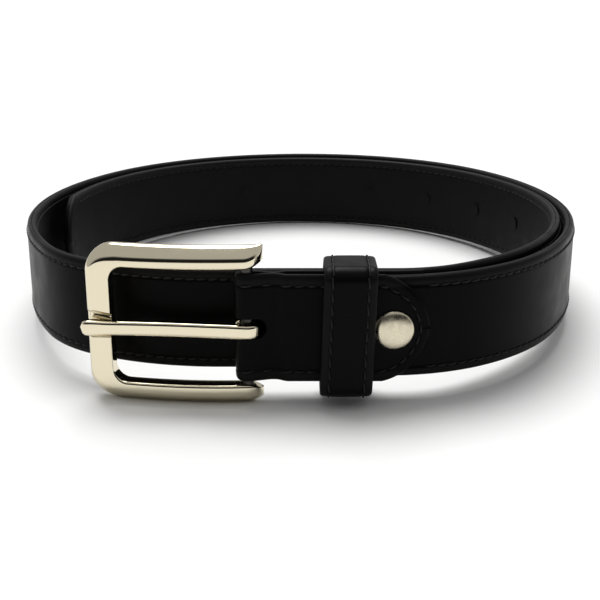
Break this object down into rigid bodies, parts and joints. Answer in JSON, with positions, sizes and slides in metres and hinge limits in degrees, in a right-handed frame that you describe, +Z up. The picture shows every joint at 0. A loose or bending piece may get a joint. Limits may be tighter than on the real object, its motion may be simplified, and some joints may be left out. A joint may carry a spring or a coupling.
{
  "type": "leather belt",
  "caption": "Man's black leather dress belt, coiled in two turns on its edge: stitched strap, folded chape closed by a snap, loose keeper loop, nickel heel-bar buckle and prong.",
  "frame": {"origin": "centre of the bounding box at its base, on the surface the coiled belt stands on", "axes": "+X to the right along the front of the coil, +Y from the buckle to the back of the coil (the longest extent), +Z up (the shortest extent)"},
  "size_m": [0.2084, 0.2308, 0.0503],
  "materials": {
    "leather_face": "smooth, semi-gloss, black",
    "leather_lining": "matt, black, with a fine suede-like nap",
    "leather_board": "bonded leather board, brown",
    "thread": "waxed black bonded thread",
    "nickel": "bright nickel plate",
    "steel": "bright drawn wire",
    "satin_nickel": "satin nickel plate",
    "brass": "pressed brass"
  },
  "bodies": {
    "strap": {"strap_face": "leather_face", "strap_core": "leather_board", "strap_lining": "leather_lining", "strap_needle_thread": "thread", "strap_bobbin_thread": "thread", "chape_face": "leather_face", "chape_lining": "leather_lining", "chape_thread": "thread", "snap_stud": "brass", "snap_post": "brass"},
    "buckle": {"buckle_frame": "nickel", "heel_bar": "steel"},
    "prong": {"prong": "nickel"},
    "keeper": {"keeper_face": "leather_face", "keeper_lining": "leather_lining", "keeper_thread": "thread", "keeper_staples": "steel"},
    "tab": {"tab_face": "leather_face", "tab_lining": "leather_lining", "tab_thread": "thread", "snap_cap": "satin_nickel", "snap_socket": "brass"}
  },
  "joints": [
    {"name": "buckle_swing", "type": "hinge", "parent": "strap", "child": "buckle", "pos_m": [-0.01631, -0.1062, 0.02511], "axis": [0.0043, 0.0408, 0.9992], "range_deg": [-2, 40]},
    {"name": "prong_swing", "type": "hinge", "parent": "buckle", "child": "prong", "pos_m": [-0.01631, -0.1062, 0.02511], "axis": [0.0043, 0.0408, 0.9992], "range_deg": [0, 60]},
    {"name": "keeper_slide", "type": "slide", "parent": "strap", "child": "keeper", "axis": [1, -0.0002, -0.0043], "range_m": [-0.013, 0]},
    {"name": "tab_lift", "type": "hinge", "parent": "strap", "child": "tab", "pos_m": [0.02019, -0.10975, 0.0251], "axis": [-0.0043, -0.0408, -0.9992], "range_deg": [0, 14]}
  ]
}
